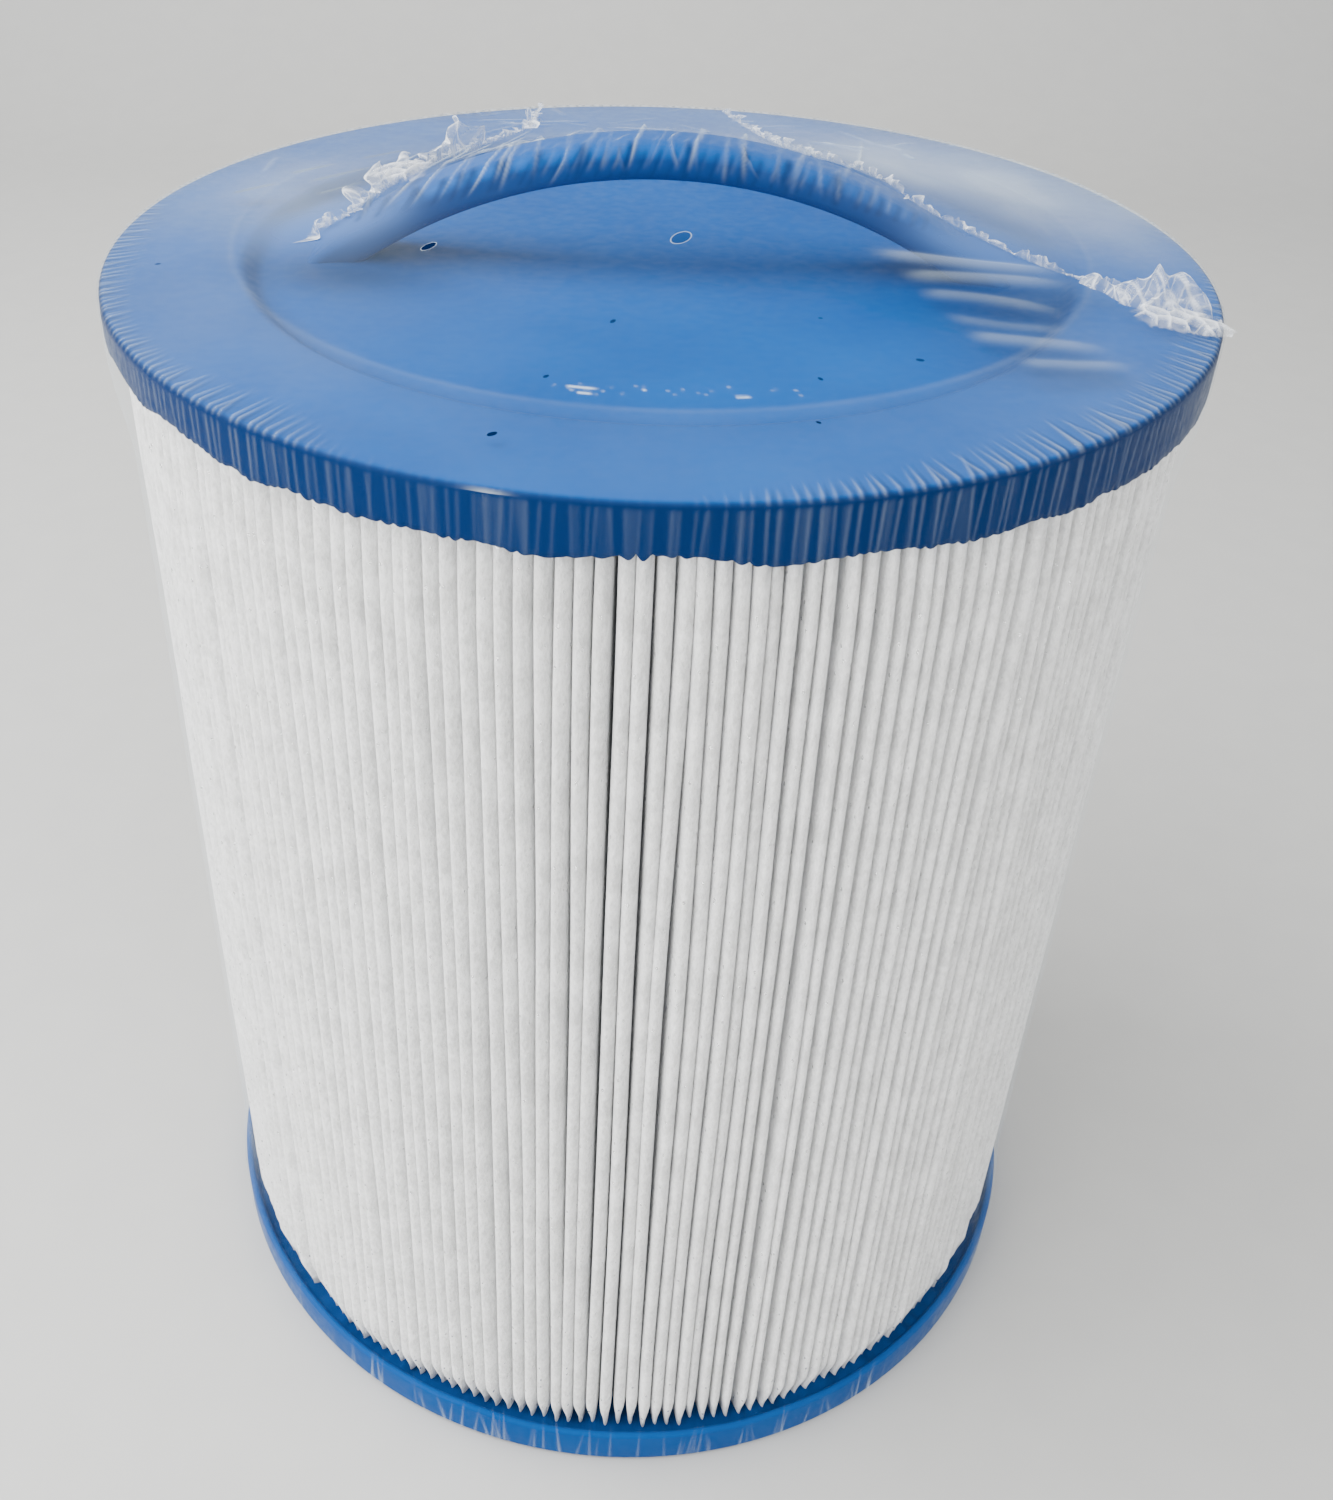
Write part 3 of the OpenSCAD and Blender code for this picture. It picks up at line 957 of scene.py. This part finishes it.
def sleeve_tucks(theta, down, up_from_hem):
    """Creases of the sleeve's edges: fine and broad stripes at the top, short ones at the hem."""
    bearing, size, _ = crimp_marks()
    r = np.random.default_rng(74)
    reach = r.uniform(9, 17, CRIMPS) * MM
    fine = tucks(theta, down, (bearing, 0.2 + 0.5 * size, reach), 0.0028, 0.10 * MM, 0.3)
    at = math.radians(-95) + r.normal(0, 0.55, 90)
    broad_marks = at, r.uniform(0.3, 1, 90), r.uniform(9, 16, 90) * MM
    broad = tucks(theta, down, broad_marks, 0.0055, 0.018 * MM, 0.3)
    hem_marks = r.uniform(0, TAU, 240), r.uniform(0.3, 1, 240), r.uniform(6, 14, 240) * MM
    low = tucks(theta, up_from_hem, hem_marks, 0.003, 0.2 * MM)
    return (fine + broad) * smoothstep(down / MM)[:, None] + low


def make_sleeve(material):
    """The side of the bag, from the tent's edge down to an open hem."""
    theta = np.linspace(0, TAU, FILM_STEPS, endpoint=False)
    top_z = FILM_Z - 0.9 * MM
    zs = np.concatenate(
        [
            np.linspace(top_z, SKIRT_Z - 4 * MM, 18)[:-1],
            np.linspace(SKIRT_Z - 4 * MM, 2 * LIP_Z, 60)[:-1],
            np.linspace(2 * LIP_Z, HEM_Z, 14),
        ]
    )
    down = top_z - zs
    streak = sleeve_tucks(theta, down, zs - HEM_Z)
    ripple = 0.10 * MM * ring_noise(theta, 12, 110, 73)[None, :]
    r = sleeve_radius(zs)[:, None] + streak * 0.8 + ripple * smoothstep(down / (20 * MM))[:, None]
    x, y = r * np.cos(theta)[None, :], r * np.sin(theta)[None, :]
    pts = np.stack([x, y, zs[:, None] + 0 * r], -1)
    film = grid_mesh("shrink_film_sleeve", pts, wrap_v=True, flip=True)
    # The film is milky over the skirt at the right, where the ear of spare film hangs on it
    patch = np.clip(ring_noise(theta, 30, 160, 75), 0, 1) * np.exp(-(((theta - 5.98) / 0.2) ** 2))
    haze = 0.1 * patch[None, :] * smoothstep((14 * MM - down) / (3 * MM))[:, None]
    add_value(film, "crease_and_sheen", np.clip(streak / MM * 1.6 + haze, 0, 1))
    place(film, material, "film_sleeve")


# The fused seam in millimetres from above: from the right-hand ear over the strap to the
# back rim, and from the back rim over the strap's left shoulder
SEAM_RIGHT = (
    (99, -24), (88, -23), (79, -21), (70, -17), (60, -10), (50, -3), (42, 7), (34, 18),
    (27, 38), (21, 66), (15, 98),
)
SEAM_LEFT = ((-31, 98), (-31, 66), (-37, 42), (-45, 22), (-52, 6), (-58, -8), (-66, -20))


def along(points, gap):
    """Points every gap metres along a smooth line through the given plan points."""
    p = np.array(points, float) * MM
    t = np.concatenate([[0], np.cumsum(np.hypot(*np.diff(p, axis=0).T))])
    s = np.linspace(0, t[-1], max(8, int(t[-1] / gap)))
    out = np.stack([np.interp(s, t, p[:, 0]), np.interp(s, t, p[:, 1])], 1)
    for _ in range(12):
        out[1:-1] = (out[:-2] + 2 * out[1:-1] + out[2:]) / 4
    return out, s


def make_seam(material, line, h):
    """The fused cut edge: a thin ragged frill that stands up off the film."""
    parts = []
    for k, points in enumerate((SEAM_RIGHT, SEAM_LEFT)):
        p, s = along(points, 0.22 * MM)
        side = np.gradient(p, axis=0)
        side = np.stack([-side[:, 1], side[:, 0]], 1)
        side /= np.linalg.norm(side, axis=1)[:, None]
        base = FILM_Z + sample(line, h, p[:, 0], p[:, 1])
        tall = (1.3 + 0.45 * line_noise(s, 60, 400, 81 + k, 0.3)).clip(0.5, 2.3) * MM
        pace = s / (0.95 * MM) + 0.5 * line_noise(s, 60, 300, 83 + k, 0.3)
        wave, corner = zigzag(pace)
        rows, crease_and_sheen = [], []
        for f in np.linspace(0, 1, 6):
            sway = wave * (0.15 + 0.55 * f) * MM
            sway = sway + 0.4 * line_noise(s, 100, 400, 85 + 10 * k + int(f * 2), 0.1) * MM * f
            at = p + side * (sway + 0.5 * MM * f)[:, None]
            rows.append(np.column_stack([at, base + 0.2 * MM + tall * f]))
            # Whiter at the zigzag's corners and along the top edge: milky film and painted highlight
            crease_and_sheen.append(0.05 + 0.75 * corner * (0.4 + 0.6 * f) + 0.25 * (f > 0.9))
        parts.append(grid_mesh(f"fused_seam_{k}", np.array(rows)))
        add_value(parts[-1], "crease_and_sheen", np.clip(crease_and_sheen, 0, 1))
    seam = join(parts, "fused_seam")
    place(seam, material, "film_seam")


def join(parts, name):
    """One object from several, with the crease values that they hold."""
    verts, quads, crease_and_sheen, start = [], [], [], 0
    for o in parts:
        n = len(o.data.vertices)
        co, value = np.zeros(n * 3, np.float32), np.zeros(n, np.float32)
        o.data.vertices.foreach_get("co", co)
        o.data.attributes["crease_and_sheen"].data.foreach_get("value", value)
        verts.append(co.reshape(-1, 3))
        crease_and_sheen.append(value)
        idx = np.zeros(len(o.data.loops), np.int32)
        o.data.loops.foreach_get("vertex_index", idx)
        quads.append(idx.reshape(-1, 4) + start)
        start += n
        bpy.data.objects.remove(o)
    whole = poly_mesh(name, np.vstack(verts), np.vstack(quads))
    add_value(whole, "crease_and_sheen", np.concatenate(crease_and_sheen))
    return whole


def zigzag(t):
    """Triangle wave between -1 and 1, with how close t is to one of its corners."""
    wave = np.abs(t % 2 - 1) * 2 - 1
    return wave, np.clip((np.abs(wave) - 0.8) / 0.2, 0, 1)


def standing_sheet(name, spine, tall, lean, seed):
    """A crumpled flag of film that stands on a line of points, with a ragged top edge."""
    r = np.random.default_rng(seed)
    p = np.array(spine, float) * MM
    u, v = np.meshgrid(np.linspace(0, 1, 72), np.linspace(0, 1, 22), indexing="ij")
    t = np.linspace(0, 1, len(p))
    base = np.stack([np.interp(u, t, p[:, k]) for k in range(3)], -1)
    run = p[-1] - p[0]
    length = np.hypot(run[0], run[1])
    along_u, across = run[:2] / length, np.array([-run[1], run[0]]) / length
    folds = np.zeros_like(u)
    crease_and_sheen = np.zeros_like(u)
    for k, waves in enumerate((1.7, 2.7, 4.3)):
        a = r.uniform(-0.9, 0.9)
        slanted = u + a * v * tall * MM / length
        wave, corner = zigzag(waves * length / (17 * MM) * 2 * slanted + r.uniform(0, 2))
        folds += wave * (1.3, 0.9, 0.5)[k] * MM
        crease_and_sheen = np.maximum(crease_and_sheen, corner * (0.9, 0.7, 0.5)[k])
    top = 0.78 + 0.22 * line_noise(u[:, 0] * length, 40, 240, seed + 1, 0.6)
    ends = 1 - (2 * u - 1) ** 4 * 0.7
    rise = tall * MM * np.clip(top, 0.25, 1.15)[:, None] * np.sin(v * 1.45) * ends
    push = folds * (0.3 + 0.9 * v) + lean * MM * v**1.5
    slide = 0.5 * np.roll(folds, 9, axis=0) * v
    pts = base.copy()
    pts[..., :2] += push[..., None] * across + slide[..., None] * along_u
    pts[..., 2] += rise
    sheet = grid_mesh(name, pts)
    # Whiter at the folds' corners and along the top edge: milky film and painted highlight
    add_value(sheet, "crease_and_sheen", np.clip(crease_and_sheen + 0.5 * (v > 0.93), 0, 1))
    return sheet


def blistered_sheet(name, centre, half, turn, count, line, h, seed):
    """Loose film lying on the tent in blisters, with a bright fold between each two: milky film and
    painted highlight.
    """
    r = np.random.default_rng(seed)
    u, v = np.meshgrid(np.linspace(-1, 1, 90), np.linspace(-1, 1, 60), indexing="ij")
    seeds = r.uniform(-1.05, 1.05, (count, 2))
    gap = [np.hypot((u - a) * half[0], (v - b) * half[1]) for a, b in seeds]
    near = np.sort(np.array(gap), axis=0)
    ridge = near[1] - near[0]
    ca, sa = math.cos(turn), math.sin(turn)
    x = (centre[0] + u * half[0] * ca - v * half[1] * sa) * MM
    y = (centre[1] + u * half[0] * sa + v * half[1] * ca) * MM
    edge = np.clip(1.15 - u**2 - v**2, 0, 1)
    z = 0.5 + 1.9 * np.exp(-((ridge / 0.9) ** 2)) + 0.8 * smoothstep(ridge / 3)
    z = FILM_Z + sample(line, h, x, y) + z * np.sqrt(edge) * MM
    sheet = grid_mesh(name, np.stack([x, y, z], -1))
    fade = smoothstep(edge / 0.75)
    add_value(sheet, "crease_and_sheen", 0.8 * np.exp(-((ridge / 0.4) ** 2)) * fade - 0.6 * (1 - fade))
    return sheet


def make_ears(material, line, h):
    """Spare film at the ends of the seam: flags that stand up, and blisters round them."""

    def on_film(x, y):
        """The place on the tent above x, y, all in millimetres."""
        at = float(sample(line, h, np.array([x * MM]), np.array([y * MM]))[0])
        return x, y, (FILM_Z + at) / MM

    right = [
        standing_sheet("r1", [on_film(84, -28), on_film(91, -31), on_film(101, -30)], 8.5, 1.5, 101),
        standing_sheet("r2", [on_film(87, -31), on_film(94, -33), on_film(103, -33)], 5.0, -1.5, 102),
        standing_sheet("r3", [on_film(95, -37), on_film(103, -37)], 3.0, -1.0, 103),
        standing_sheet("r4", [on_film(78, -22), on_film(86, -28)], 3.0, 1.0, 104),
        blistered_sheet("r5", (94, -35), (11, 6), -0.05, 15, line, h, 105),
    ]
    place(join(right, "spare_film_right"), material, "film_ear_right")
    left = [
        standing_sheet("l1", [on_film(-39, 30), on_film(-44, 22), on_film(-48, 14)], 7.0, 1.0, 111),
        standing_sheet("l2", [on_film(-49, 10), on_film(-55, -2), on_film(-59, -10)], 5.5, -1.0, 112),
        standing_sheet("l3", [on_film(-30, 74), on_film(-32, 62)], 4.0, 1.0, 113),
        standing_sheet("l4", [on_film(-58, -8), on_film(-68, -20)], 2.2, 1.0, 115),
        blistered_sheet("l5", (-52, 8), (12, 6), 2.1, 13, line, h, 114),
    ]
    place(join(left, "spare_film_left"), material, "film_ear_left")


make_camera()
make_lights()
make_stage()

resin = resin_material()
make_top_cap(resin)
make_strap(resin)
make_bottom_cap(resin)
make_pleats(media_material())

core = frame["nodes"]["centre_core"]
core.data.materials.clear()
core.data.materials.append(core_material())

tent_line, tent = relax_tent()
make_film_top(film_material("film_over_top", 0.003, holes=True), tent_line, tent)
make_sleeve(film_material("film_on_side", 0.002))
bead = bead_material()
make_seam(bead, tent_line, tent)
make_ears(bead, tent_line, tent)
